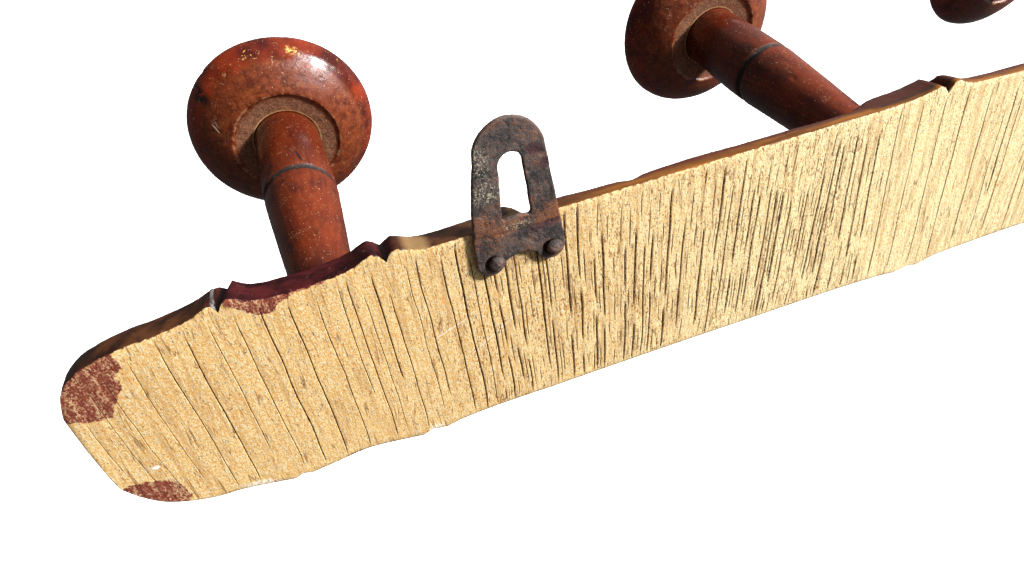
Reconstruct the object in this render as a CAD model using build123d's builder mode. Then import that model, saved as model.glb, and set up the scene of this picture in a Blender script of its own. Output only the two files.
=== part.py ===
from build123d import *
import os
from math import cos, radians, sin, tan

# Wall-hung peg rack. A shaped board carries three turned pegs with mushroom heads, and two slotted
# iron plates nailed to its back hang it on the wall.
# Frame: +X runs along the board, +Y points into the wall and +Z is up. The origin lies on the board's
# back face, behind the middle peg. Millimetres.

# Board
board_thickness = 18.0
half_height = 31.6  # between the pegs
waist_half_height = 29.9  # beside the outer pegs
end_margin = 65.0  # from the middle of the carving at an outer peg to the board's end
end_half_height = 13.5  # straight part of the end, each side of the middle
corner_point = (9.5, 25.7)  # distance in from the end and height where the corner's arc gives way
ease_run = 34.0  # distance in from the end where the waist begins

# Edge left behind the front bevel
bevel_angle = 45.0
edge_thin = 5.5  # between the pegs
edge_thick = 8.8  # at the pegs and the ends
bevel_over = 6.0  # how far the bevel's cutter stands out past the edge

# Pegs
peg_x = {"1": 193.4, "2": 0.0, "3": -176.0}
peg_tilt = 8.5  # upward lean, degrees
peg_axis_z = -0.6  # height of a peg's axis where it meets the back face
mortise_floor = 4.0  # this and the other distances along a peg are from the back face
foot_radius = 8.8
foot_end = 23.0
waist_radius = 11.0  # where the taper is half way to the belly
waist_along = 55.0
groove_start = 86.5
groove_width = 3.0
groove_depth = 1.0
belly_radius = 13.2
neck_radius = 12.8
shaft_end = 129.4
tenon_radius = 7.5
tenon_length = 14.0

# Peg heads
rim_radius = 36.6
rim_along = 142.0
lip_along = 127.4
ring_radius = 20.3  # rough ring sunk into the underside around the shaft
roll_radius = 32.2  # where the underside turns into the rounded rim
roll_low = 136.6
roll_high = 147.6
crown_along = 155.0

# Carved nicks: two beside each outer peg, one at the middle peg
carving_x = {"1": 195.0, "3": -176.0}  # middle of the carving at each outer peg
nick_offset = 20.5
nick_floor_top = 29.0
nick_floor_bottom = 32.4
nick_mouth_half_width = 1.8
nick_mouth_height = 36.0
flare_peak = 34.8
flare_outside = 11.0  # length of the rise on the side away from the peg
flare_inside = 11.5
flare_middle = 16.0

# Hanger plates
plate_inset = 55.2  # from the middle of the outer carving
plate_thickness = 1.6
plate_top = 60.5
plate_crown_radius = 9.7
plate_foot_half_width = 12.8
plate_fold_z = 29.0
plate_lean = 1.0  # how much further from the board the plate's top stands than its foot
lobe_drop = 3.7  # how far the lobes hang below the nails
lobe_inner = 4.4  # half the width of the arch between the lobes
arch_top = 21.8
slot_radius = 3.3
slot_top = 51.5
slot_floor = 32.6
slot_floor_half_width = 4.3
nail_hole_radius = 2.3

# Nails
nail_spacing = 16.6
nail_z = 20.8
nail_drift = 1.0  # the nails stand to one side of their holes
nail_head_radius = 2.25
nail_head_side = 0.5
nail_head_height = 1.9
nail_shank_radius = 1.15
nail_depth = 13.5
nail_taper = 3.0

board_left = carving_x["3"] - end_margin
board_right = carving_x["1"] + end_margin
plate_x = {"1": carving_x["1"] - plate_inset, "2": carving_x["3"] + plate_inset}
nail_x = {
    "1": plate_x["1"] + nail_spacing / 2 - nail_drift,
    "2": plate_x["1"] - nail_spacing / 2 - nail_drift,
    "3": plate_x["2"] + nail_spacing / 2 - nail_drift,
    "4": plate_x["2"] - nail_spacing / 2 - nail_drift,
}
lean = radians(peg_tilt)
peg_direction = (0, -cos(lean), sin(lean))


def peg_point(x, along):
    """Point on a peg's axis, a given distance from the back face."""
    return (x, -along * cos(lean), peg_axis_z + along * sin(lean))


def across_peg(x, along):
    """Plane square to a peg's axis."""
    return Plane(origin=peg_point(x, along), x_dir=(1, 0, 0), z_dir=peg_direction)


def along_peg(x):
    """Plane through a peg's axis: local x is the radius, local y the distance from the back face."""
    return Plane(origin=peg_point(x, 0), x_dir=(1, 0, 0), z_dir=(0, -sin(lean), -cos(lean)))


def end_edges(end_x, inward):
    """Upper half of one rounded end, from the middle of the end to the waist."""
    shoulder = (end_x, end_half_height)
    corner = (end_x + inward * corner_point[0], corner_point[1])
    Line((end_x, 0), shoulder)
    turn = TangentArc(shoulder, corner, tangent=(0, 1))
    TangentArc(turn @ 1, (end_x + inward * ease_run, waist_half_height), tangent=turn % 1)


def upper_outline():
    """Upper half of the board's outline without its carved flares."""
    end_edges(board_right, -1)
    end_edges(board_left, 1)
    inner_right = carving_x["1"] - nick_offset
    inner_left = carving_x["3"] + nick_offset
    Polyline(
        (board_right - ease_run, waist_half_height),
        (inner_right, waist_half_height),
        (inner_right, half_height),
        (inner_left, half_height),
        (inner_left, waist_half_height),
        (board_left + ease_run, waist_half_height),
    )
    Line((board_left, 0), (board_right, 0))


def flare(peak_x, run, foot_height):
    """Blade-shaped rise of the edge, from a foot on the edge to its peak at a nick."""
    foot_x = peak_x + run
    root = foot_height - 3
    toward_peak = (-1, 0) if run > 0 else (1, 0)
    TangentArc((foot_x, foot_height), (peak_x, flare_peak), tangent=toward_peak)
    Polyline((peak_x, flare_peak), (peak_x, root), (foot_x, root), (foot_x, foot_height))


def bevel_profile(edge):
    """Triangle that the front bevel removes: local x is +Y, local y the height above the edge."""
    front = board_thickness + 1
    Polyline(
        (-edge, 0),
        (-edge, bevel_over),
        (-front, bevel_over),
        (-front, -(front - edge) / tan(radians(bevel_angle))),
        close=True,
    )


# Height of the bevelled edge and its thickness, at places along the board
corner_radius = (corner_point[0] ** 2 + (corner_point[1] - end_half_height) ** 2) / (2 * corner_point[0])
corner_top = end_half_height + corner_radius
bevel_stations = [
    (board_left + corner_radius, corner_top, edge_thick),
    (board_left + ease_run, waist_half_height, edge_thick),
    (carving_x["3"] + 24, waist_half_height, edge_thick),
    (carving_x["3"] + 40, half_height, edge_thin),
    (peg_x["2"] - 24, half_height, edge_thin),
    (peg_x["2"] - 9, half_height, edge_thick),
    (peg_x["2"] + 9, half_height, edge_thick),
    (peg_x["2"] + 24, half_height, edge_thin),
    (carving_x["1"] - 40, half_height, edge_thin),
    (carving_x["1"] - 24, waist_half_height, edge_thick),
    (board_right - ease_run, waist_half_height, edge_thick),
    (board_right - corner_radius, corner_top, edge_thick),
]
nicks = [
    carving_x["1"] + nick_offset,
    carving_x["1"] - nick_offset,
    peg_x["2"],
    carving_x["3"] + nick_offset,
    carving_x["3"] - nick_offset,
]
# Each flare's peak, signed length and foot height
flares = [
    (nicks[0], flare_outside, waist_half_height),
    (nicks[0], -flare_inside, waist_half_height),
    (nicks[1], flare_inside, waist_half_height),
    (nicks[1], -flare_outside, half_height),
    (nicks[2], flare_middle, half_height),
    (nicks[2], -flare_middle, half_height),
    (nicks[3], flare_outside, half_height),
    (nicks[3], -flare_inside, waist_half_height),
    (nicks[4], flare_inside, waist_half_height),
    (nicks[4], -flare_outside, waist_half_height),
]


def nail_outline():
    """Half outline of a nail: local x is the radius, local y the height above the board's back."""
    head_top = plate_thickness + nail_head_height
    Polyline(
        (0, head_top),
        (0, -nail_depth),
        (nail_shank_radius, nail_taper - nail_depth),
        (nail_shank_radius, plate_thickness),
        (nail_head_radius, plate_thickness),
        (nail_head_radius, plate_thickness + nail_head_side),
    )
    TangentArc((0, head_top), (nail_head_radius, plate_thickness + nail_head_side), tangent=(1, 0))


nails = {}
for name, x in nail_x.items():
    seat = Plane(origin=(x, 0, nail_z), x_dir=(1, 0, 0), z_dir=(0, 0, 1))
    with BuildPart() as nail:
        with BuildSketch(seat):
            with BuildLine():
                nail_outline()
            make_face()
        revolve(axis=Axis((x, 0, nail_z), (0, 1, 0)))
    nails[name] = nail


with BuildPart() as backboard:
    with BuildSketch(Plane.XZ) as outline:
        with BuildLine():
            upper_outline()
        make_face()
        for peak_x, run, foot_height in flares:
            with BuildLine():
                flare(peak_x, run, foot_height)
            make_face()
        mirror(about=Plane.XZ)
    extrude(amount=board_thickness)

    # Nicks across the top and bottom edges
    with BuildSketch(Plane.XZ) as nick_marks:
        for x in nicks:
            for side, floor in ((1, nick_floor_top), (-1, nick_floor_bottom)):
                with BuildLine():
                    Polyline(
                        (x, side * floor),
                        (x - nick_mouth_half_width, side * nick_mouth_height),
                        (x + nick_mouth_half_width, side * nick_mouth_height),
                        close=True,
                    )
                make_face()
    extrude(amount=board_thickness, mode=Mode.SUBTRACT)

    # Front bevel along the top edge, then along the bottom edge
    with BuildPart(mode=Mode.PRIVATE) as long_bevel:
        for x, height, edge in bevel_stations:
            with BuildSketch(Plane(origin=(x, 0, height), x_dir=(0, 1, 0), z_dir=(1, 0, 0))):
                with BuildLine():
                    bevel_profile(edge)
                make_face()
        loft(ruled=True)
    add(long_bevel.part, mode=Mode.SUBTRACT)
    add(mirror(long_bevel.part, about=Plane.XY, mode=Mode.PRIVATE), mode=Mode.SUBTRACT)

    # Front bevel round the two ends
    for end_x, outward in ((board_right, 1), (board_left, -1)):
        pivot_x = end_x - outward * corner_radius
        for side in (1, -1):
            quarter = Plane(origin=(pivot_x, 0, side * corner_top), x_dir=(0, 1, 0), z_dir=(side, 0, 0))
            with BuildSketch(quarter):
                with BuildLine():
                    bevel_profile(edge_thick)
                make_face()
            revolve(
                axis=Axis((pivot_x, 0, side * end_half_height), (0, side * outward, 0)),
                revolution_arc=90,
                mode=Mode.SUBTRACT,
            )
        end_plane = Plane(origin=(end_x, 0, -end_half_height), x_dir=(0, 1, 0), z_dir=(0, 0, -outward))
        with BuildSketch(end_plane):
            with BuildLine():
                bevel_profile(edge_thick)
            make_face()
        extrude(amount=-2 * outward * end_half_height, mode=Mode.SUBTRACT)

    # Blind mortises for the pegs, and holes for the nails
    for x in peg_x.values():
        with BuildSketch(across_peg(x, mortise_floor)):
            Circle(foot_radius)
        extrude(amount=board_thickness + 4, mode=Mode.SUBTRACT)
    for nail in nails.values():
        add(nail.part, mode=Mode.SUBTRACT)

backboard.part.label = "backboard"


shafts = {}
heads = {}
for name, x in peg_x.items():
    axis = Axis(peg_point(x, 0), peg_direction)
    groove_end = groove_start + groove_width

    with BuildPart() as shaft:
        with BuildSketch(along_peg(x)):
            with BuildLine():
                Polyline((0, mortise_floor), (foot_radius, mortise_floor), (foot_radius, foot_end))
                Spline(
                    (foot_radius, foot_end),
                    (waist_radius, waist_along),
                    (belly_radius, groove_start),
                    tangents=((0.05, 1), (0.05, 1)),
                )
                Polyline(
                    (belly_radius, groove_start),
                    (belly_radius - groove_depth, groove_start + 0.4),
                    (belly_radius - groove_depth, groove_end - 0.4),
                    (belly_radius, groove_end),
                )
                Spline(
                    (belly_radius, groove_end),
                    (neck_radius, shaft_end),
                    tangents=((0, 1), (0, 1)),
                )
                Polyline(
                    (neck_radius, shaft_end),
                    (tenon_radius, shaft_end),
                    (tenon_radius, shaft_end + tenon_length),
                    (0, shaft_end + tenon_length),
                    (0, mortise_floor),
                )
            make_face()
        revolve(axis=axis)
    shafts[name] = shaft

    with BuildPart() as head:
        with BuildSketch(along_peg(x)):
            with BuildLine():
                Polyline(
                    (0, crown_along),
                    (0, shaft_end + tenon_length),
                    (tenon_radius, shaft_end + tenon_length),
                    (tenon_radius, shaft_end),
                    (ring_radius, shaft_end),
                    (ring_radius, lip_along),
                )
                ThreePointArc((ring_radius, lip_along), (27.3, 130.7), (roll_radius, roll_low))
                ThreePointArc((roll_radius, roll_low), (rim_radius, rim_along), (roll_radius, roll_high))
                TangentArc((0, crown_along), (roll_radius, roll_high), tangent=(1, 0))
            make_face()
        revolve(axis=axis)
    heads[name] = head


plates = {}
for name, x in plate_x.items():
    with BuildPart() as plate:
        # Folded strip seen from its edge, then trimmed to the plate's outline
        with BuildSketch(Plane.YZ.offset(x - 15)):
            with BuildLine():
                Polyline(
                    (0, 10),
                    (0, plate_fold_z),
                    (plate_lean, plate_top + 2),
                    (plate_lean + plate_thickness, plate_top + 2),
                    (plate_thickness, plate_fold_z),
                    (plate_thickness, 10),
                    close=True,
                )
            make_face()
        extrude(amount=30)
        with BuildSketch(Plane(origin=(x, 5, 0), x_dir=(1, 0, 0), z_dir=(0, -1, 0))):
            with BuildLine():
                crown_z = plate_top - plate_crown_radius
                hole_x = nail_spacing / 2
                for side in (1, -1):
                    Line((side * plate_foot_half_width, nail_z), (side * plate_crown_radius, crown_z))
                    ThreePointArc(
                        (side * plate_foot_half_width, nail_z),
                        (side * (plate_foot_half_width + lobe_inner) / 2, nail_z - lobe_drop),
                        (side * lobe_inner, nail_z),
                    )
                ThreePointArc((plate_crown_radius, crown_z), (0, plate_top), (-plate_crown_radius, crown_z))
                ThreePointArc((lobe_inner, nail_z), (0, arch_top), (-lobe_inner, nail_z))
            make_face()
            with BuildLine():
                slot_shoulder = slot_top - slot_radius
                ThreePointArc((slot_radius, slot_shoulder), (0, slot_top), (-slot_radius, slot_shoulder))
                Polyline(
                    (-slot_radius, slot_shoulder),
                    (-slot_floor_half_width, slot_floor),
                    (slot_floor_half_width, slot_floor),
                    (slot_radius, slot_shoulder),
                )
            make_face(mode=Mode.SUBTRACT)
            with Locations((-hole_x, nail_z), (hole_x, nail_z)):
                Circle(nail_hole_radius, mode=Mode.SUBTRACT)
        extrude(amount=10, mode=Mode.INTERSECT)
    plates[name] = plate


os.makedirs("parts", exist_ok=True)
export_step(backboard.part, "parts/backboard.step")
groups = {"peg_shaft": shafts, "peg_head": heads, "hanger_plate": plates, "hanger_nail": nails}
for stem, group in groups.items():
    for name, piece in group.items():
        piece.part.label = f"{stem}_{name}"
        export_step(piece.part, f"parts/{stem}_{name}.step")
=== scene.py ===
import random
from math import cos, radians, sin, tau

import bpy
import numpy as np
from mathutils import Euler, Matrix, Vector, noise


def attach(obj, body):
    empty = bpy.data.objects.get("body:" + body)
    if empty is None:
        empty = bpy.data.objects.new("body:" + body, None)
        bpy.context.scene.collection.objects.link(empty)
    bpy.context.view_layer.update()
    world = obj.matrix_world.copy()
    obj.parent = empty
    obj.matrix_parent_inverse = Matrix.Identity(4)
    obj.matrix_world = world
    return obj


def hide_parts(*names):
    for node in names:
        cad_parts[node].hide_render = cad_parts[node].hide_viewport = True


# Wall peg rack, seen from behind and above. All shapes below are worked out in millimetres in the
# row's frame: +X along the board, +Y out of its back, +Z up.
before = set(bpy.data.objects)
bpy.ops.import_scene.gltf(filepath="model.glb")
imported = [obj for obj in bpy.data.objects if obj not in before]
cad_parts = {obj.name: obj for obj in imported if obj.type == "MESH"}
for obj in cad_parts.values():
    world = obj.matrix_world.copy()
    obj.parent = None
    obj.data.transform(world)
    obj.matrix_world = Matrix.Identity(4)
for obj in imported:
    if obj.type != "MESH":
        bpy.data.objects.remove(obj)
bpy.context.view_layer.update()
scene = bpy.context.scene
MM = 0.001

FLOOR_Z = -0.6

# Camera: close behind and above the rack, beyond its first peg
CAMERA_PLACE = (0.1826, 0.1517, 0.1236)
CAMERA_TURN = (53.79, 6.99, 160.49)
CAMERA_LENS = 24.42

# Strength of the studio surround on its dim side and its bright side
WORLD_DIM = 0.09
WORLD_BRIGHT = 0.50

# Board
BOARD_LEFT = -241.0
BOARD_RIGHT = 260.0
BOARD_THICKNESS = 18.0
HALF_HEIGHT = 31.6
CRACK_LEAN = -0.085  # how far the dense band's cracks lean over, for each millimetre up
SAWN_DEPTH = 0.22
ARRIS_DEPTH = 0.45
NICK_X = 217.0  # the skewed nick near the first peg
NICK_SKEW = -2.4
OUTSIDE = -9.0  # a mark's value where it doesn't apply
WALL_LEVELS = (0.07, 0.2, 0.36, 0.52, 0.68, 0.84, 0.95)

# Columns of the board's mesh
FINEST_GAP = 0.085
COARSEST_GAP = 2.3
COLUMN_STEP = 1.6
CRACK_SHOULDER = 0.16

# Pegs
PEG_X = {"1": 193.4, "2": 0.0, "3": -176.0}
PEG_TILT = radians(8.5)
PEG_AXIS_Z = -0.6
GROOVE_START = 86.5
GROOVE_END = 89.5
SHAFT_END = 129.4
TENON_RADIUS = 7.5
TENON_END = 143.4
CROWN_RADIUS = 73.8
CROWN_ALONG = 154.75
RING_INNER = 12.8
RING_OUTER = 19.3
UNDER_START = (21.1, 127.6)  # the underside's curve, as radius and distance from the back face
UNDER_END = (32.6, 135.2)
RIM_WIDEST = (36.6, 142.8)
RIM_END = (32.2, 147.4)
HEAD_REACH = 155.0  # the furthest that a head may stand from the back face, along the peg
SHAFT_TURNS = 112
HEAD_TURNS = 160

# Hanger plates
PLATE_X = {"1": 139.8, "2": -120.8}
PLATE_THICKNESS = 1.6
PLATE_TOP = 60.5
PLATE_FOLD_Z = 29.0
PLATE_LEAN = 1.0
NAIL_Z = 20.8
HOLE_X = 8.3
CUT_ROUNDING = 0.22
VOXEL = 0.3
PLATE_REACH = 2.6  # the furthest that a plate may stand out from the board's back

# Nails
NAIL_DRIFT = 1.0  # the nails stand to one side of their holes
NAIL_SHANK_RADIUS = 1.15
NAIL_HEAD_RADIUS = 2.24
NAIL_HEAD_SIDE = 0.5
NAIL_HEAD_HEIGHT = 1.9
NAIL_DEPTH = 13.5
NAIL_TURNS = 44


# ---------------------------------------------------------------- shapes


def lumps(points, size, seed=0.0):
    """Smooth noise from -1 to 1 at each point, with bumps about size millimetres across."""
    size = np.broadcast_to(size, 3)
    shift = Vector((seed * 17.3, seed * 5.1, seed * 9.7))
    scaled = np.asarray(points) / size
    return np.array([noise.noise(Vector(p) + shift) for p in scaled])


def smooth(low, high, value):
    """0 below low, 1 above high, and a smooth rise between."""
    t = np.clip((value - low) / (high - low), 0, 1)
    return t * t * (3 - 2 * t)


def add_object(name, data):
    obj = bpy.data.objects.new(name, data)
    scene.collection.objects.link(obj)
    return obj


def make_piece(name, points, faces, node, material, marks):
    """Mesh object that stands for a CAD node. Marks are named values, one for each point."""
    mesh = bpy.data.meshes.new(name)
    mesh.from_pydata((np.asarray(points) * MM).tolist(), [], faces)
    for mark, values in marks.items():
        layer = mesh.attributes.new(mark, "FLOAT", "POINT")
        layer.data.foreach_set("value", np.asarray(values, dtype=np.float32))
    mesh.shade_smooth()
    mesh.update()
    piece = add_object(name, mesh)
    mesh.materials.append(material)
    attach(piece, "root")
    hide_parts(node)


def curve_through(points):
    """Height along x: smooth through the points, with a corner at each point marked so."""
    points = sorted(points, key=lambda p: p[0])
    xs = np.array([p[0] for p in points], dtype=float)
    zs = np.array([p[1] for p in points], dtype=float)
    secant = np.diff(zs) / np.diff(xs)
    before = np.concatenate(([secant[0]], secant))
    after = np.concatenate((secant, [secant[-1]]))
    middle = (before + after) / 2
    corner = np.array([len(p) > 2 for p in points])
    slope_in = np.where(corner, before, middle)
    slope_out = np.where(corner, after, middle)

    def height(x):
        i = np.clip(np.searchsorted(xs, x, side="right") - 1, 0, len(xs) - 2)
        run = xs[i + 1] - xs[i]
        t = np.clip((x - xs[i]) / run, 0, 1)
        rise = (2 * t**3 - 3 * t**2 + 1) * zs[i] + (3 * t**2 - 2 * t**3) * zs[i + 1]
        bend = (t**3 - 2 * t**2 + t) * slope_out[i] + (t**3 - t**2) * slope_in[i + 1]
        return rise + bend * run

    return height


# The board's outline from behind. A third entry marks a sharp corner.
TOP_EDGE = [
    (260, 12), (258, 18), (254, 22.5), (248, 25.3), (240, 27), (230, 28), (225, 29),
    (221, 30.4), (219.3, 31.4), (218.2, 31.2, "cusp"), (217, 28.8, "nick"), (215.7, 30.9, "cusp"),
    (214.4, 32.0), (212.8, 31.7), (210.4, 30.4), (205, 29.2), (190, 29.5), (183, 30.6),
    (179.6, 32.2), (177.8, 32.6), (176.6, 31.9, "cusp"), (175, 29.3, "nick"), (173.6, 31.6, "cusp"),
    (172.2, 32.5), (170.4, 32.0), (167.6, 30.8), (164, 30.2), (155, 30.3), (110, 31), (40, 31.8),
    (17, 32.2), (9, 32.9), (4.6, 33.8), (2.4, 34.4), (1.2, 33.7, "cusp"), (-0.4, 31.4, "nick"),
    (-1.9, 33.7, "cusp"), (-3.2, 34.8), (-5, 34.4), (-9, 32.9), (-18, 32.1), (-60, 31.6),
    (-110, 31.2), (-144, 30.6),
    (-152.6, 33.8, "cusp"), (-155.3, 29.4, "nick"), (-158, 33.6, "cusp"),
    (-166, 30.2), (-184, 29.8), (-193, 33.2, "cusp"), (-196.6, 29.2, "nick"), (-199, 32.8, "cusp"),
    (-206, 29.8), (-216, 28.6), (-227, 26.2), (-234, 22.4), (-239, 17.4), (-241, 12.5),
]
BOTTOM_EDGE = [
    (260, -15.5), (257.5, -20.5), (254, -24.6), (250, -27), (246, -28.5), (240, -30), (232, -30.5),
    (226, -31.5), (217, -33.5, "cusp"), (214.5, -32.1, "nick"), (212, -33.3, "cusp"),
    (205, -32.5), (195, -31.3), (185, -32.5), (178, -33.8, "cusp"), (175, -32.3, "nick"),
    (170, -33.5), (166, -32.7), (130, -32), (70, -32), (10, -33.0), (4, -33.7, "cusp"),
    (-1.5, -32.4, "nick"), (-6, -33.7, "cusp"), (-12, -32.3), (-20, -31.8), (-80, -31.6),
    (-144, -31.4), (-152.8, -33.9, "cusp"), (-155.5, -32.4, "nick"), (-158, -33.7, "cusp"),
    (-170, -31.2), (-184, -31.4), (-193.6, -33.4, "cusp"), (-196.2, -32.2, "nick"), (-199, -33.2, "cusp"),
    (-208, -31.0), (-218, -29.4), (-228, -26.8), (-235, -22.6), (-239.4, -17.6), (-241, -13),
]
# How thick the board's edge is where the front bevel begins
EDGE_THICKNESS = [
    (260, 7.6), (250, 8.2), (218, 8.8), (178, 8.8), (168, 8.2), (150, 8.6), (145.5, 9.4), (142, 10.3),
    (138.8, 8.8), (137, 4.8), (136, 1.2), (133.5, 1.4), (130.5, 4.8), (127, 6.2), (119, 5.8),
    (108, 5.3), (104, 4.2), (100, 5.2), (60, 5.6), (29, 5.5), (26, 6.0), (22, 8.8), (10, 9.6),
    (3, 9.2), (-3, 7.6), (-9, 5.8),
    (-30, 5.5), (-130, 5.6), (-148, 8.0), (-156, 8.8), (-200, 8.8), (-241, 8.0),
]
top_of = curve_through(TOP_EDGE)
bottom_of = curve_through(BOTTOM_EDGE)
top_unnicked = curve_through([p for p in TOP_EDGE if p[-1] != "nick"])
bottom_unnicked = curve_through([p for p in BOTTOM_EDGE if p[-1] != "nick"])
edge_of = curve_through(EDGE_THICKNESS)

# Cracks on the sawn back: x, upper end, lower end, width and depth
LONG_CRACKS = [
    (256.3, 10, -12, 0.3, 0.15), (251.6, 20, -20, 0.3, 0.15), (247.0, 22, -25, 0.3, 0.2),
    (240.3, 24, -22, 0.3, 0.2), (232.6, 25, -29, 0.45, 0.35), (226.2, 25, -30, 0.55, 0.5),
    (220.0, 27, -20, 0.35, 0.3), (213.8, 26, -30, 0.4, 0.35), (207.6, 28, -31, 0.6, 0.6),
    (200.9, 26, -31, 0.6, 0.6), (194.0, 24, -31, 0.45, 0.4), (188.2, 27, -12, 0.4, 0.35),
    (185.7, 28, -31, 0.5, 0.5), (182.4, 22, -29, 0.4, 0.3), (179.2, 27, -10, 0.65, 0.6),
    (176.0, 20, -32, 0.5, 0.45), (170.2, 27, -26, 0.35, 0.3), (167.4, 29, -22, 0.55, 0.5),
    (161.0, 27, -31, 0.6, 0.55), (157.0, 29, -32, 0.8, 0.8), (153.6, 24, -31, 0.5, 0.5),
    (16.2, 32, -31, 0.55, 0.5), (8.2, 31, -31, 0.5, 0.45), (-0.6, 31, -32, 0.5, 0.45),
    (-9.0, 31, -31, 0.65, 0.6), (-18.8, 30, -27, 0.55, 0.5), (-26.6, 22, -28, 0.45, 0.4),
    (-29.6, 27, -13, 0.9, 0.8), (-32.6, 24, -28, 0.6, 0.5), (-42.6, 30, -31, 0.6, 0.6),
]


def crack_list():
    """All the cracks: the long ones, a dense band of short staggered ones, and some sparse ones."""
    dice = random.Random(11)
    cracks = [(x, top, foot, width * 0.68, depth * 0.8) for x, top, foot, width, depth in LONG_CRACKS]
    x = 150.5
    turn = 0.0
    heavy = False
    while x > 18.5:
        heavy = dice.random() < 0.62 and not heavy
        z = 31.0 - dice.uniform(0, 9) - turn
        while z > -29:
            length = dice.uniform(15, 50) if heavy else dice.uniform(4, 15)
            width = dice.uniform(0.46, 0.78) if heavy else dice.uniform(0.24, 0.38)
            cracks.append((x, z, max(z - length, -31.5), width, width * 0.9))
            z -= length + (dice.uniform(1.5, 6) if heavy else dice.uniform(2, 14))
        turn = 11.0 - turn
        thin_out = 1.0 if x > 36 else 1.9
        x -= dice.uniform(0.95, 2.1) * thin_out
    x = -46.0
    while x > -234:
        reach = 27 if x < -205 else 31
        cut = dice.uniform(-31, 6)
        width = dice.uniform(0.3, 0.6)
        cracks.append((x, reach - dice.uniform(0, 6), cut, width, width * 0.9))
        if cut > -12:
            cracks.append((x, cut - dice.uniform(3, 8), -reach + 2, width * 0.8, width * 0.7))
        x -= dice.uniform(2.2, 7.5)
    return cracks


def column_places(cracks):
    """Where the board's mesh has a column of points: at its cracks and corners, and evenly between.

    Each place has a rank. Where two stand too close together, the one with the lower rank stays.
    """
    fixed = [p[0] for p in TOP_EDGE + BOTTOM_EDGE if len(p) > 2]
    places = [(x, 0) for x in fixed]
    for x in sorted({c[0] for c in cracks}):
        width = max(c[3] for c in cracks if c[0] == x)
        places += [(x - width / 2, 1), (x, 1), (x + width / 2, 1)]
        places += [(x - width / 2 - CRACK_SHOULDER, 2), (x + width / 2 + CRACK_SHOULDER, 2)]
    near_end = (0, 0.25, 0.7, 1.4, 2.3, 3.4, 4.8, 6.4, 8.2, 10.2, 12.5)
    for end, inward in ((BOARD_RIGHT, -1), (BOARD_LEFT, 1)):
        places += [(end + inward * distance, 0) for distance in near_end]
    bevel_turns = (126, 128, 130, 132, 133.6, 135, 136.4, 137.5, 138.6, 140, 27.5, 24, 20, 13)
    places += [(x, 2) for x in bevel_turns]
    places.sort()
    kept = [places[0]]
    for place in places[1:]:
        gap = place[0] - kept[-1][0]
        if gap > FINEST_GAP:
            while place[0] - kept[-1][0] > COARSEST_GAP:
                kept.append((kept[-1][0] + COLUMN_STEP, 2))
            kept.append(place)
        elif place[1] < kept[-1][1]:
            kept[-1] = place
    return np.array([p[0] for p in kept])


def distance_to(points, polygon):
    """Signed distance from each point to a closed polygon, positive inside."""
    near = np.full(len(points), 1e9)
    inside = np.zeros(len(points), dtype=bool)
    corners = np.asarray(polygon, dtype=float)
    for a, b in zip(corners, np.roll(corners, -1, axis=0)):
        run = b - a
        t = np.clip(((points - a) @ run) / (run @ run), 0, 1)
        near = np.minimum(near, np.linalg.norm(points - a - t[:, None] * run, axis=1))
        crosses = (a[1] > points[:, 1]) != (b[1] > points[:, 1])
        with np.errstate(divide="ignore", invalid="ignore"):
            meet = a[0] + (points[:, 1] - a[1]) * run[0] / run[1]
        inside ^= crosses & (points[:, 0] < meet)
    return np.where(inside, near, -near)


# Old paint that ran over onto the back, as outlines in x and z
PAINT_PATCHES = [
    [(243, 26.5), (241.8, 22), (245, 20), (244, 17), (248, 12), (250, 8), (255, 9), (262, 11.5), (264, 34),
     (243, 34)],
    [(262, -15.6), (254, -15.5), (248, -17), (245, -20), (243.8, -26), (246.4, -29), (250, -36), (266, -36)],
    [(215.4, 30.6), (212, 28), (208, 25), (205, 25), (203, 27), (198, 28.4), (190, 29.2), (190, 38),
     (216, 38)],
    [(201.5, -31.2), (196, -30.8), (191.5, -31.6), (191, -36), (202, -36)],
]


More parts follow.
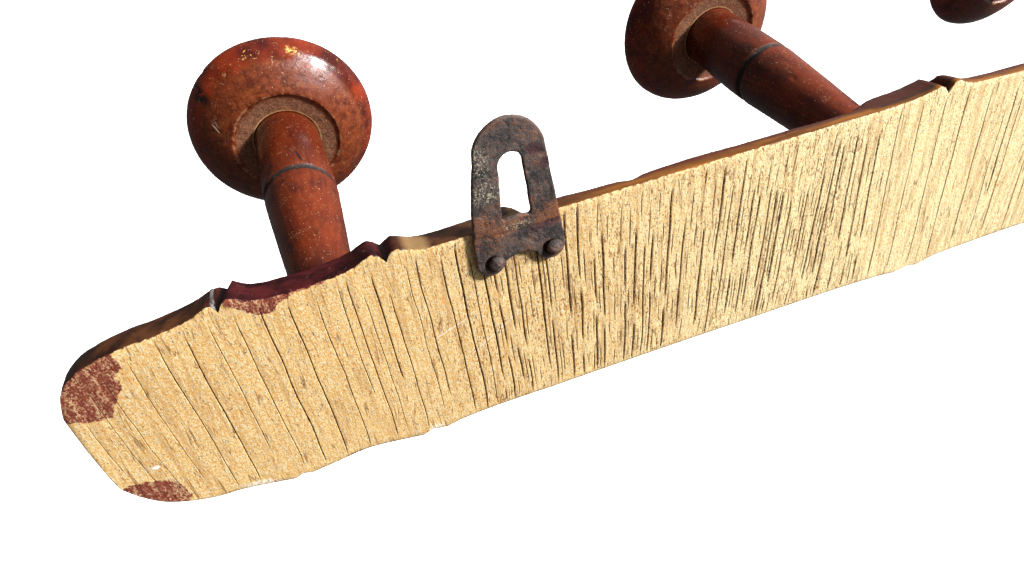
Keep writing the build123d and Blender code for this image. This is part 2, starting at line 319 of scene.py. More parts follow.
def build_board(material):
    """Board as a grid of columns and rows on its back and its front, joined by a wall round the rim."""
    cracks = crack_list()
    columns = column_places(cracks)
    steps = [0, 0.45, 1.1, 2.2, 3.6, 5.2, 7, 9, 11, 13, 15, 17, 19, 21, 23, 25, 27, 29.2]
    lower = [d / (2 * HALF_HEIGHT) for d in steps]
    rows = np.array(lower + [0.5] + [1 - d for d in reversed(lower)])
    base, across = np.meshgrid(columns, rows, indexing="ij")

    # The cracks lean over in the dense band, so the columns do too
    lean = CRACK_LEAN * smooth(22, 44, base) * (1 - smooth(75, 165, base))
    x = base.copy()
    for _ in range(3):
        z = bottom_of(x) + across * (top_of(x) - bottom_of(x))
        inner = 1 - np.abs(2 * across - 1) ** 6
        away = smooth(0, 14, BOARD_RIGHT - base) * smooth(0, 14, base - BOARD_LEFT)
        x = base + lean * z + 0.02 * z * inner * away
    flat = np.stack([x, 0 * x, z], axis=-1).reshape(-1, 3)

    def uneven(size, seed):
        return lumps(flat, size, seed).reshape(base.shape)

    wander = uneven((5, 1, 13), 3) * 0.35 + uneven((2, 1, 5), 4) * 0.12
    x = x + wander * inner * away
    # The near end leans in a little towards its foot
    x = x - smooth(225, 260, x) * 0.0026 * np.maximum(8 - z, 0) ** 2

    # Distance in from the outline, taken across the nicks
    line = np.linspace(BOARD_LEFT, BOARD_RIGHT, 1003)
    rim = np.concatenate([
        np.stack([line, top_unnicked(line)], axis=-1),
        np.stack([line, bottom_unnicked(line)], axis=-1),
        np.stack([np.full(30, BOARD_RIGHT), np.linspace(-15, 12, 30)], axis=-1),
        np.stack([np.full(30, BOARD_LEFT), np.linspace(-13, 12, 30)], axis=-1),
    ])
    spots = np.stack([x, z], axis=-1).reshape(-1, 2)
    inset = np.concatenate([
        np.min(np.linalg.norm(part[:, None] - rim[None], axis=2), axis=1)
        for part in np.array_split(spots, 60)
    ]).reshape(x.shape)

    # Back: cracks, a rough sawn surface and a worn arris
    crack_depth = np.zeros_like(x)
    crack_mark = np.zeros_like(x)
    for place, upper, lower, width, depth in cracks:
        i = int(np.argmin(np.abs(columns - place)))
        if abs(columns[i] - place) > 0.08:
            continue
        run = smooth(lower - 0.5, lower + 3.5, z[i]) * (1 - smooth(upper - 3.5, upper + 0.5, z[i]))
        crack_depth[i] = np.maximum(crack_depth[i], run * depth)
        crack_mark[i] = np.maximum(crack_mark[i], run * min(1.0, 0.55 + width))
    sawn = uneven((1.6, 1, 9), 5) * 0.10 + uneven((14, 1, 22), 6) * 0.12
    arris = ARRIS_DEPTH * (1 - smooth(0, 1.3, inset))
    back_y = -(SAWN_DEPTH + sawn) * smooth(0, 2, inset) - crack_depth - arris
    back_y = np.minimum(back_y, 0)
    back = np.stack([x, back_y, z], axis=-1)

    # Front: a flat face with a worn bevel all round
    edge = edge_of(x) * (1 + 0.05 * uneven((9, 1, 9), 7))
    slope = edge + inset
    gap = BOARD_THICKNESS - slope
    depth = np.where(gap > 2, slope, BOARD_THICKNESS - 2 * np.exp(np.minimum(gap - 2, 0) / 2))
    depth = np.minimum(np.maximum(depth, 0), BOARD_THICKNESS)
    worn = uneven((22, 1, 12), 8) * 0.12 + uneven((4, 1, 3), 9) * 0.05
    depth = depth - 0.2 + worn * smooth(0, 3, inset)
    round_off = 0.5 * (1 - smooth(0, 1.0, inset))
    inward = np.sign(across - 0.5) * (np.abs(across - 0.5) > 0.49)
    front = np.stack([x, -depth - round_off * 0.2, z - inward * 0.35], axis=-1)

    # Skewed nick near the first peg
    for grid in (back, front):
        skew = NICK_SKEW * smooth(0, 9, -grid[..., 1]) * np.exp(-(((grid[..., 0] - NICK_X) / 4.5) ** 2))
        top_only = smooth(10, 24, grid[..., 2])
        grid[..., 0] += skew * top_only

    count_x, count_z = x.shape
    points = [back.reshape(-1, 3), front.reshape(-1, 3)]
    marks = {
        "crack": [crack_mark.ravel(), np.zeros(x.size)],
        "inset": [inset.ravel(), np.full(x.size, OUTSIDE)],
        "bevel": [np.zeros(x.size), inset.ravel()],
    }

    def index(i, j):
        return i * count_z + j

    faces = []
    offset = x.size
    for i in range(count_x - 1):
        for j in range(count_z - 1):
            a, b, c, d = index(i, j), index(i + 1, j), index(i + 1, j + 1), index(i, j + 1)
            faces.append((a, d, c, b))
            faces.append((offset + a, offset + b, offset + c, offset + d))

    # Side walls between the back's rim and the front's rim
    loop = [(i, 0) for i in range(count_x)]
    loop += [(count_x - 1, j) for j in range(1, count_z)]
    loop += [(i, count_z - 1) for i in range(count_x - 2, -1, -1)]
    loop += [(0, j) for j in range(count_z - 2, 0, -1)]
    rim_back = np.array([index(i, j) for i, j in loop])
    start = points[0][rim_back]
    finish = points[1][rim_back]

    def side_of(place, count):
        return int(place == count - 1) - int(place == 0)

    outward = np.array([(side_of(i, count_x), 0, side_of(j, count_z)) for i, j in loop], dtype=float)
    previous = rim_back
    offset = 2 * x.size
    total = len(loop)
    for level in WALL_LEVELS:
        ring = start + (finish - start) * level
        rounding = 0.34 * (1 - abs(2 * level - 1) ** 3)
        dents = lumps(ring, (7, 4, 7), 10) * 0.16 + lumps(ring, (2.2, 2.2, 2.2), 11) * 0.07
        ring = ring + outward * np.minimum(rounding + dents - 0.1, 0.3)[:, None]
        points.append(ring)
        marks["crack"].append(np.zeros(total))
        marks["inset"].append(ring[:, 1])
        marks["bevel"].append(np.full(total, -1.0) * (1 - level))
        current = np.arange(offset, offset + total)
        for k in range(total):
            n = (k + 1) % total
            faces.append((previous[k], previous[n], current[n], current[k]))
        previous = current
        offset += total
    last = rim_back + x.size
    for k in range(total):
        n = (k + 1) % total
        faces.append((previous[k], previous[n], last[n], last[k]))

    points = np.concatenate(points)
    points[:, 0] = np.clip(points[:, 0], BOARD_LEFT, BOARD_RIGHT)
    marks = {name: np.concatenate(parts) for name, parts in marks.items()}
    plan = points[:, [0, 2]]
    patch = np.max([distance_to(plan, outline) for outline in PAINT_PATCHES], axis=0)
    marks["patch"] = np.clip(patch, OUTSIDE, -OUTSIDE)
    faces = [tuple(int(v) for v in face) for face in faces]
    make_piece("rack_board", points, faces, "backboard", material, marks)


def tube_faces(rows, turns):
    """Faces of a tube of rings, and of a fan at each end whose two middle points follow the rings."""
    faces = []
    for i in range(rows - 1):
        low = i * turns
        high = low + turns
        for k in range(turns):
            n = (k + 1) % turns
            faces.append((low + k, low + n, high + n, high + k))
    middle = rows * turns
    last = middle - turns
    for k in range(turns):
        n = (k + 1) % turns
        faces.append((middle, n, k))
        faces.append((middle + 1, last + k, last + n))
    return faces


def peg_space(x, profile, turns, shake):
    """Turned surface round a peg's axis. The profile is radius and distance from the back face."""
    along_dir = np.array((0, -cos(PEG_TILT), sin(PEG_TILT)))
    side_dir = np.array((1.0, 0, 0))
    up_dir = np.array((0, sin(PEG_TILT), cos(PEG_TILT)))
    foot = np.array((x, 0, PEG_AXIS_Z))
    profile = np.asarray(profile, dtype=float)
    angle = np.linspace(0, tau, turns, endpoint=False)
    ring = np.cos(angle)[:, None] * side_dir + np.sin(angle)[:, None] * up_dir
    radius = profile[:, 0][:, None] + 0 * angle[None]
    along = profile[:, 1][:, None] + 0 * angle[None]
    place = foot + along[..., None] * along_dir + radius[..., None] * ring[None]
    radius, along = shake(place.reshape(-1, 3), radius.ravel(), along.ravel())
    radius = radius.reshape(along.size // turns, turns)
    along = along.reshape(radius.shape)
    place = foot + along[..., None] * along_dir + radius[..., None] * ring[None]
    ends = [profile[0, 1], profile[-1, 1]]
    points = np.concatenate([place.reshape(-1, 3), [foot + end * along_dir for end in ends]])
    radius = np.concatenate([radius.ravel(), [0, 0]])
    along = np.concatenate([along.ravel(), ends])
    return points, tube_faces(len(profile), turns), radius, along


def dense(points, step):
    """The same profile with more points along its straight runs."""
    result = [points[0]]
    for a, b in zip(points, points[1:]):
        length = ((b[0] - a[0]) ** 2 + (b[1] - a[1]) ** 2) ** 0.5
        parts = max(1, round(length / step))
        for k in range(1, parts + 1):
            result.append((a[0] + (b[0] - a[0]) * k / parts, a[1] + (b[1] - a[1]) * k / parts))
    return result


def arc(a, m, b, parts):
    """Points on the circle through three points, from a to b."""
    (ax, ay), (mx, my), (bx, by) = a, m, b
    d = 2 * (ax * (my - by) + mx * (by - ay) + bx * (ay - my))
    a2, m2, b2 = ax * ax + ay * ay, mx * mx + my * my, bx * bx + by * by
    cx = (a2 * (my - by) + m2 * (by - ay) + b2 * (ay - my)) / d
    cy = (a2 * (bx - mx) + m2 * (ax - bx) + b2 * (mx - ax)) / d
    start = np.arctan2(ay - cy, ax - cx)
    sweep = np.arctan2(by - cy, bx - cx) - start
    middle = np.arctan2(my - cy, mx - cx) - start
    if not 0 < (middle % tau) / (sweep % tau) < 1:
        sweep = sweep % tau - tau
    else:
        sweep = sweep % tau
    reach = ((ax - cx) ** 2 + (ay - cy) ** 2) ** 0.5
    return [
        (cx + reach * cos(start + sweep * k / parts), cy + reach * sin(start + sweep * k / parts))
        for k in range(parts + 1)
    ]


def build_shaft(name, seed, material):
    """Tapered shaft with a burnt groove, a straight neck and a tenon."""
    x = PEG_X[name]
    taper = curve_through([(4, 8.8), (23, 8.8), (40, 9.9), (55, 11.0), (72, 12.1), (86.5, 13.0)])
    neck = curve_through([(89.5, 13.05), (100, 13.1), (115, 12.9), (129.4, 12.6)])
    profile = [(8.2, 4.0), (8.8, 4.6)]
    profile += [(float(taper(a)), a) for a in np.arange(6, GROOVE_START - 0.7, 1.0)]
    profile += [
        (12.95, GROOVE_START - 0.6), (12.75, GROOVE_START - 0.15), (12.2, GROOVE_START + 0.3),
        (12.0, GROOVE_START + 0.8), (11.95, GROOVE_START + 1.5), (12.05, GROOVE_END - 0.8),
        (12.3, GROOVE_END - 0.3), (12.85, GROOVE_END + 0.15), (13.05, GROOVE_END + 0.6),
    ]
    profile += [(float(neck(a)), a) for a in np.arange(GROOVE_END + 1.4, SHAFT_END - 0.8, 1.0)]
    profile += [(12.6, SHAFT_END - 0.5), (12.3, SHAFT_END)]
    profile += [(TENON_RADIUS, SHAFT_END), (TENON_RADIUS, TENON_END - 0.5), (7.0, TENON_END)]

    def shake(place, radius, along):
        body = smooth(15, 24, along) * (1 - smooth(SHAFT_END - 2, SHAFT_END - 0.5, along))
        swell = lumps(place, (16, 30, 16), seed) * 0.16 + lumps(place, (5, 9, 5), seed + 1) * 0.05
        tool = 0.022 * np.sin(along * 2.6 + 2 * lumps(place, 18, seed + 2))
        in_groove = smooth(GROOVE_START - 0.2, GROOVE_START + 0.6, along) * (
            1 - smooth(GROOVE_END - 0.6, GROOVE_END + 0.2, along)
        )
        torn = lumps(place, 0.9, seed + 3) * 0.16 * in_groove
        dents = -0.35 * smooth(0.52, 0.75, lumps(place, (4, 6, 4), seed + 4))
        return radius + body * (swell + tool + dents) + torn, along

    points, faces, radius, along = peg_space(x, profile, SHAFT_TURNS, shake)
    groove = smooth(GROOVE_START - 0.35, GROOVE_START + 0.3, along)
    groove = groove * (1 - smooth(GROOVE_END - 0.3, GROOVE_END + 0.35, along))
    marks = {"groove": groove, "along": along, "radius": radius}
    node = f"peg_shaft_{name}"
    make_piece(f"peg_shaft_turned_{name}", points, faces, node, material, marks)


def build_head(name, seed, material):
    """Mushroom head: tenon hole, dished ring, lip, convex underside, rim and low crown."""
    x = PEG_X[name]
    profile = [(TENON_RADIUS, TENON_END + 0.4), (TENON_RADIUS, SHAFT_END + 0.6), (8.0, SHAFT_END + 0.1)]
    profile += dense([(8.4, SHAFT_END), (RING_INNER, SHAFT_END), (RING_OUTER, SHAFT_END - 0.9)], 0.9)
    profile += [(19.8, SHAFT_END - 1.15), (20.2, 127.85), (20.6, 127.55), UNDER_START]
    profile += arc(UNDER_START, (27.2, 130.7), UNDER_END, 16)[1:]
    profile += arc(UNDER_END, (35.6, 139.1), RIM_WIDEST, 10)[1:]
    profile += arc(RIM_WIDEST, (35.5, 145.6), RIM_END, 12)[1:]
    crown_centre = CROWN_ALONG - CROWN_RADIUS
    for r in (30.6, 29.2, 28, 26, 24, 22, 20, 18, 16, 14, 12, 10, 8, 6, 4, 2.5, 1.2, 0.3):
        profile.append((r, crown_centre + (CROWN_RADIUS**2 - r**2) ** 0.5))

    def shake(place, radius, along):
        outside = smooth(20.6, 22.5, radius)
        swell = lumps(place, 20, seed) * 0.16 + lumps(place, 6, seed + 1) * 0.07
        dents = -0.55 * smooth(0.5, 0.72, lumps(place, 5.5, seed + 4)) * smooth(30, 34, radius)
        nicks = -0.4 * smooth(0.56, 0.66, lumps(place, 2.3, seed + 6)) * smooth(31, 34, radius)
        ring = smooth(13, 14, radius) * (1 - smooth(19.4, 20.0, radius)) * (along < SHAFT_END + 1)
        torn = (lumps(place, 1.1, seed + 3) * 0.22 + lumps(place, 2.6, seed + 5) * 0.16) * ring
        tool = 0.03 * np.sin(radius * 3.1) * outside * (along < 140)
        radius = radius + outside * (swell + dents + nicks) * smooth(24, 33, radius)
        along = along + outside * swell * (1 - smooth(24, 33, radius)) + torn + tool
        return np.minimum(radius, RIM_WIDEST[0]), np.minimum(along, HEAD_REACH)

    points, faces, radius, along = peg_space(x, profile, HEAD_TURNS, shake)
    marks = {"along": along, "radius": radius, "under": (along < 139).astype(float)}
    node = f"peg_head_{name}"
    make_piece(f"peg_head_turned_{name}", points, faces, node, material, marks)


def build_plate(name, seed, material):
    """Cut iron strip: outline filled and thickened, remeshed fine, then folded, worn and pitted."""
    centre = PLATE_X[name]
    crown_z = PLATE_TOP - 9.6
    outline = []
    outline += arc((9.4, crown_z), (0.0, PLATE_TOP - 0.1), (-9.6, crown_z), 28)
    outline += [(-10.9, 38.0), (-12.3, 26.0), (-12.6, NAIL_Z)]
    outline += arc((-12.6, NAIL_Z), (-8.5, NAIL_Z - 3.6), (-4.4, NAIL_Z - 0.4), 12)[1:]
    outline += arc((-4.4, NAIL_Z - 0.4), (0.2, 21.7), (4.6, NAIL_Z - 0.6), 8)[1:]
    outline += arc((4.6, NAIL_Z - 0.6), (8.8, NAIL_Z - 3.6), (12.7, NAIL_Z), 12)[1:]
    outline += [(12.6, 27.0), (11.6, 38.0)]
    slot = arc((3.2, 48.2), (0, 51.4), (-3.2, 48.2), 16)
    slot += [(-3.7, 40.0), (-4.15, 33.4)]
    slot += arc((-3.6, 32.6), (0, 33.1), (3.6, 32.6), 6)
    slot += [(4.15, 33.4), (3.7, 40.0)]
    holes = []
    for side in (-1, 1):
        holes.append([
            (side * HOLE_X + 2.3 * cos(tau * k / 24), NAIL_Z + 2.2 * sin(tau * k / 24)) for k in range(24)
        ])
    curve = bpy.data.curves.new("plate_outline", "CURVE")
    curve.dimensions = "2D"
    curve.fill_mode = "BOTH"
    curve.extrude = PLATE_THICKNESS / 2 - CUT_ROUNDING
    curve.bevel_depth = CUT_ROUNDING
    curve.bevel_resolution = 1
    curve.offset = -CUT_ROUNDING
    for loop in [outline, slot] + holes:
        spline = curve.splines.new("POLY")
        spline.points.add(len(loop) - 1)
        for point, (u, v) in zip(spline.points, loop):
            point.co = (u, v, 0, 1)
        spline.use_cyclic_u = True
    blank = add_object("plate_blank", curve)
    solid = add_object("plate_solid", bpy.data.meshes.new_from_object(blank))
    remesh = solid.modifiers.new("remesh", "REMESH")
    remesh.mode = "VOXEL"
    remesh.voxel_size = VOXEL
    view = bpy.context.evaluated_depsgraph_get()
    fine = bpy.data.meshes.new_from_object(solid.evaluated_get(view))
    count = len(fine.vertices)
    local = np.zeros(count * 3)
    fine.vertices.foreach_get("co", local)
    normals = np.zeros(count * 3)
    fine.vertices.foreach_get("normal", normals)
    faces = [tuple(f.vertices) for f in fine.polygons]
    for spare in (blank, solid):
        bpy.data.objects.remove(spare)
    local = local.reshape(-1, 3)
    normals = normals.reshape(-1, 3)

    # Local x, y and thickness become row x, z and y
    pits = -0.16 * smooth(0.15, 0.6, lumps(local, 1.5, seed)) + lumps(local, 0.8, seed + 1) * 0.045
    pits = pits + lumps(local, (5, 5, 2), seed + 2) * 0.09
    wave = lumps(local, (9, 9, 50), seed + 3) * 0.10
    local = local + normals * pits[:, None]
    x = centre + local[:, 0] + lumps(local, (6, 6, 6), seed + 4) * 0.18
    z = local[:, 1] + lumps(local, (6, 6, 6), seed + 5) * 0.15
    rise = np.clip((z - PLATE_FOLD_Z) / (PLATE_TOP + 2 - PLATE_FOLD_Z), 0, 1)
    crease = -0.16 * np.exp(-(((z - PLATE_FOLD_Z - 0.02 * local[:, 0]) / 0.5) ** 2))
    y = local[:, 2] + PLATE_THICKNESS / 2 + PLATE_LEAN * rise + (wave + crease) * (local[:, 2] > -0.2)
    y = np.clip(y, 0.0, PLATE_REACH)
    z = np.minimum(z, PLATE_TOP)
    points = np.stack([x, y, z], axis=-1)
    marks = {"worn": np.clip(1 - np.abs(normals[:, 2]), 0, 1)}
    node = f"hanger_plate_{name}"
    make_piece(f"hanger_plate_iron_{name}", points, faces, node, material, marks)


def build_nail(name, x, seed, material):
    """Round nail with a knocked dome. Its profile is radius and distance from the back face."""
    turns = NAIL_TURNS
    seat = PLATE_THICKNESS
    top = seat + NAIL_HEAD_HEIGHT
    side = seat + NAIL_HEAD_SIDE
    profile = [(0.05, -NAIL_DEPTH), (0.6, -12.0), (NAIL_SHANK_RADIUS, -10.5), (NAIL_SHANK_RADIUS, seat - 0.1)]
    profile += [(1.6, seat), (2.1, seat + 0.02), (NAIL_HEAD_RADIUS, seat + 0.25), (2.22, side)]
    profile += [(2.05, side + 0.45), (1.7, side + 0.85), (1.25, side + 1.12), (0.75, side + 1.3)]
    profile += [(0.3, top - 0.04)]
    points = []
    for radius, y in profile:
        for k in range(turns):
            angle = tau * k / turns
            points.append((x + radius * cos(angle), y, NAIL_Z + radius * sin(angle)))
    points = np.array(points)
    axis = np.array((x, 0, NAIL_Z))
    head = smooth(seat - 0.1, seat + 0.6, points[:, 1])
    knocks = lumps(points, 1.3, seed) * 0.22 + lumps(points, 0.6, seed + 1) * 0.06
    away = points - axis
    away[:, 1] = 0
    reach = np.maximum(np.linalg.norm(away, axis=1), 1e-6)
    push = np.minimum(knocks, NAIL_HEAD_RADIUS - reach) * head
    points = points + away / reach[:, None] * push[:, None]
    points[:, 1] += head * (knocks * 0.7 - 0.12)
    points[:, 1] = np.minimum(points[:, 1], top)
    last = points[-turns:]
    points = np.concatenate([points, [(x, -NAIL_DEPTH, NAIL_Z), last.mean(axis=0) + (0, 0.02, 0)]])
    points[:, 1] = np.minimum(points[:, 1], top)
    # A nail's rings climb the other way round from a peg's, so its faces are turned over
    faces = [(face[0], *face[:0:-1]) for face in tube_faces(len(profile), turns)]
    # The worn mark lightens the top of each dome: a painted highlight
    marks = {"worn": smooth(0.9, 1.9, points[:, 1] - seat)}
    node = f"hanger_nail_{name}"
    make_piece(f"hanger_nail_iron_{name}", points, faces, node, material, marks)


# ---------------------------------------------------------------- materials


def put(tree, socket, value):
    """Links a socket to another, or sets its value. A colour may leave out its alpha."""
    if isinstance(value, bpy.types.NodeSocket):
        tree.links.new(value, socket)
    elif isinstance(value, tuple) and len(value) == 3 and len(socket.default_value) == 4:
        socket.default_value = (*value, 1)
    else:
        socket.default_value = value


def add_node(tree, kind, inputs, **settings):
    node = tree.nodes.new("ShaderNode" + kind)
    for name, value in settings.items():
        setattr(node, name, value)
    for socket, value in inputs.items():
        put(tree, node.inputs[socket], value)
    return node


def smooth_range(tree, value, low, high, start, end):
    """Smooth rise from start to end as the value goes from low to high."""
    inputs = {"Value": value, "From Min": low, "From Max": high, "To Min": start, "To Max": end}
    return add_node(tree, "MapRange", inputs, interpolation_type="SMOOTHSTEP").outputs["Result"]


class Shader:
    """One procedural material, built from small named steps. Sizes are in millimetres."""

    def __init__(self, name):
        self.material = bpy.data.materials.new(name)
        self.material.use_nodes = True
        self.tree = self.material.node_tree
        self.surface = self.tree.nodes["Principled BSDF"]
        metres = self.node("TexCoord", {}).outputs["Object"]
        self.place = self.node("VectorMath", {0: metres, "Scale": 1 / MM}, operation="SCALE").outputs[0]
        self.x, self.y, self.z = self.node("SeparateXYZ", {0: self.place}).outputs

    def node(self, kind, inputs, **settings):
        return add_node(self.tree, kind, inputs, **settings)

    def math(self, operation, a, b=0.0):
        return self.node("Math", {0: a, 1: b}, operation=operation).outputs[0]

    def join(self, operation, values):
        total = values[0]
        for value in values[1:]:
            total = self.math(operation, total, value)
        return total

    def add(self, *values):
        return self.join("ADD", values)

    def times(self, *values):
        return self.join("MULTIPLY", values)

    def either(self, *values):
        """The largest of the values."""
        return self.join("MAXIMUM", values)

    def flip(self, value):
        return self.math("SUBTRACT", 1.0, value)

    def centred(self, value):
        return self.math("SUBTRACT", value, 0.5)

    def spread(self, value, low, high, start=0.0, end=1.0):
        return smooth_range(self.tree, value, low, high, start, end)

    def band(self, value, low, high, soft):
        """1 between low and high, falling to 0 outside over the soft width."""
        rise = self.spread(value, low - soft, low + soft)
        fall = self.spread(value, high - soft, high + soft, 1, 0)
        return self.times(rise, fall)

    def mix(self, factor, a, b):
        return self.node("Mix", {0: factor, 6: a, 7: b}, data_type="RGBA").outputs[2]

    def coats(self, base, *coats):
        """The base colour under some coats. Each is a tone, its strength, and the masks that limit it."""
        for tone, strength, *masks in coats:
            base = self.mix(self.times(*masks, strength), base, tone)
        return base

    def noise(self, size, seed, detail=3.0, roughness=0.55, bend=0.0):
        """Noise with lumps of the given size along x, y and z. Each seed shifts it elsewhere."""
        scale = tuple(1 / length for length in size)
        shift = (seed * 3.7, seed * 1.9, seed * 2.3)
        place = self.node("Mapping", {"Vector": self.place, "Scale": scale, "Location": shift}).outputs[0]
        inputs = {"Vector": place, "Scale": 1.0, "Detail": detail, "Roughness": roughness, "Distortion": bend}
        return self.node("TexNoise", inputs).outputs[0]

    def mark(self, name):
        return self.node("Attribute", {}, attribute_name=name).outputs["Fac"]

    def spot(self, centre, size, turn=0.0, soft=0.35):
        """1 inside an ellipse on the back, given its centre in x and z, its half sizes and its turn."""
        ellipse = {
            "Vector": self.place,
            "Location": (centre[0], 0, centre[1]),
            "Rotation": (0, radians(turn), 0),
            "Scale": (size[0], 1000, size[1]),
        }
        local = self.node("Mapping", ellipse, vector_type="TEXTURE").outputs[0]
        length = self.node("VectorMath", {0: local}, operation="LENGTH").outputs["Value"]
        return self.spread(length, 1 - soft, 1 + soft, 1, 0)

    def bump(self, height, distance, strength):
        inputs = {"Height": height, "Distance": distance * MM, "Strength": strength}
        return self.node("Bump", inputs).outputs[0]

    def finish(self, colour, roughness, normal, **fixed):
        """Connects the surface. The fixed values go on the shader's own sockets."""
        inputs = {"Base Color": colour, "Roughness": roughness, "Normal": normal, **fixed}
        for name, value in inputs.items():
            put(self.tree, self.surface.inputs[name], value)
        return self.material


def board_material():
    s = Shader("sawn_and_stained_wood")
    crack, inset, bevel, patch = [s.mark(name) for name in ("crack", "inset", "bevel", "patch")]

    # Sawn back: golden at the near end, cream at the far one
    fibre = s.noise((0.38, 2, 1.9), 1, 4, 0.62)
    streak = s.noise((1.5, 6, 24), 2, 3, 0.6)
    fuzz = s.noise((0.58, 0.58, 0.60), 3, 2, 0.6)
    cloud = s.noise((26, 20, 22), 4, 3, 0.5)
    golden = s.mix(cloud, (0.64, 0.40, 0.145), (0.76, 0.515, 0.21))
    cream = s.mix(cloud, (0.87, 0.70, 0.345), (0.95, 0.82, 0.47))
    band = s.band(s.x, 24, 165, 10)
    pores = s.noise((0.42, 2, 1.1), 5, 2, 0.5)
    pore_places = s.spread(s.noise((7, 9, 12), 6), 0.35, 0.7)
    pore_limit = s.add(pores, s.times(band, 0.045), s.times(pore_places, 0.06))
    pore_tone = s.mix(band, (0.42, 0.19, 0.058), (0.25, 0.092, 0.025))
    hair = s.math("ABSOLUTE", s.centred(s.noise((2.3, 4, 34), 7, 2, 0.5)))
    hair_line = s.times(s.spread(hair, 0.016, 0.004), s.spread(s.noise((3, 3, 8), 8), 0.42, 0.55))
    scratch = s.either(s.spot((162.5, 2.8), (6.2, 0.16), 20), s.spot((150, -3.4), (8.5, 0.16), 32))
    pale_foot = s.either(s.spot((226, -30.6), (4.5, 1.2), -12), s.spot((173.5, -32), (2.2, 1.0)))
    crack_wobble = s.add(crack, s.times(s.centred(fuzz), 1.9), s.times(s.centred(fibre), 0.9))
    crack_dark = s.spread(crack_wobble, 0.30, 0.50)
    wood = s.coats(
        s.mix(s.spread(s.x, 200, 0), golden, cream),
        ((0.98, 0.90, 0.60), 0.80, s.spread(fuzz, 0.51, 0.61)),
        ((0.54, 0.27, 0.075), 0.72, s.spread(fuzz, 0.47, 0.36)),
        ((0.48, 0.235, 0.075), 0.50, s.spread(fibre, 0.48, 0.28)),
        ((0.46, 0.235, 0.075), 0.42, s.spread(streak, 0.52, 0.36)),
        (pore_tone, 0.88, s.spread(pore_limit, 0.665, 0.73)),
        ((0.20, 0.09, 0.03), 0.75, hair_line),
        ((0.80, 0.34, 0.08), 0.55, s.spot((163, 13), (0.6, 1.5), 0, 0.6)),
        ((0.95, 0.92, 0.88), 1.0, s.spot((248, -12), (1.0, 0.55))),
        ((0.85, 0.78, 0.70), 0.75, scratch),
        ((0.94, 0.86, 0.70), 0.85, pale_foot, s.spread(fuzz, 0.35, 0.55)),
        ((0.26, 0.115, 0.035), 0.55, s.spread(crack_wobble, 0.04, 0.34)),
        ((0.055, 0.020, 0.006), 0.98, crack_dark),
    )
    # Painted shade: near-black where the board shows through the nail holes, shade with rust stain, and a
    # brown painted shadow round each plate, with some iron stain
    for plate_x in PLATE_X.values():
        for side in (-1, 1):
            nail = s.spot((plate_x + side * HOLE_X + 0.4, NAIL_Z), (2.7, 2.7), 0, 0.4)
            wood = s.coats(wood, ((0.012, 0.008, 0.006), 0.96, nail))
        # Painted shadow round the plate, with some iron stain
        plate_shadow_halo = s.spot((plate_x + 1.4, 25.5), (13.6, 9.2), 0, 0.14)
        wood = s.coats(wood, ((0.20, 0.09, 0.035), 0.25, plate_shadow_halo))

    # Stain on the edges: umber, then oxblood, then orange along the straight run, with painted shade in the
    # hump's hollow and behind the first plate
    grain = s.noise((30, 3.0, 1.6), 11, 4, 0.6, 0.4)
    mottle = s.noise((6, 5, 5), 12, 4, 0.6)
    patchy = s.spread(mottle, 0.36, 0.64)
    oxblood = s.mix(patchy, (0.016, 0.002, 0.003), (0.066, 0.006, 0.007))
    umber = s.mix(patchy, (0.024, 0.009, 0.005), (0.095, 0.032, 0.011))
    orange = s.mix(s.spread(grain, 0.3, 0.7), (0.085, 0.024, 0.004), (0.30, 0.105, 0.012))
    bare = s.mix(mottle, (0.24, 0.13, 0.05), (0.38, 0.23, 0.09))
    straight = s.spread(s.add(s.x, s.times(mottle, 26)), 152, 116)
    # Painted shade: near-black deep in the hollow of the hump by the middle peg
    shaded_hump = s.band(s.add(s.x, s.times(mottle, 5)), -3, 27, 3)
    arris_line = s.spread(s.add(s.y, s.times(mottle, 1.4)), -1.2, -3.6)
    # Painted shade: darker brown on the edge behind the first plate
    shade_behind_plate = s.band(s.x, 128, 151, 1.5)
    stain = s.coats(
        s.mix(s.spread(s.x, 215, 221), oxblood, umber),
        (umber, 1.0, s.spread(s.add(s.x, s.times(mottle, 8)), 179, 173)),
        (orange, 1.0, straight),
        (bare, 0.8, s.band(s.x, 163.5, 169.5, 1.4)),
        ((0.020, 0.012, 0.008), 0.93, shaded_hump, s.spread(s.y, -0.9, -2.6)),
        ((0.075, 0.014, 0.006), 0.85, arris_line, straight),
        ((0.15, 0.080, 0.030), 0.85, shade_behind_plate, s.spread(mottle, 0.38, 0.56)),
    )

    # Varnished front: worn along its bevel, and bare on the ridge inside it
    ridge = s.times(s.band(s.y, -18.5, -16.2, 0.5), s.band(bevel, 8, 13.5, 1.2))
    front = s.coats(
        s.mix(grain, (0.085, 0.014, 0.007), (0.27, 0.060, 0.018)),
        ((0.07, 0.010, 0.006), 0.6, s.spread(s.noise((60, 20, 14), 13), 0.4, 0.7)),
        (bare, 0.8, s.band(bevel, -0.2, 0.7, 0.5), s.spread(mottle, 0.45, 0.62)),
        ((0.34, 0.15, 0.05), 0.75, ridge, s.spread(s.noise((9, 9, 3), 14), 0.48, 0.62)),
    )
    scuffs = s.noise((1.4, 1.4, 1.4), 15, 4, 0.7)
    painted = s.mix(s.spread(bevel, 0.3, 1.6), stain, front)
    painted = s.coats(painted, (bare, 0.65, s.spread(scuffs, 0.63, 0.74)))

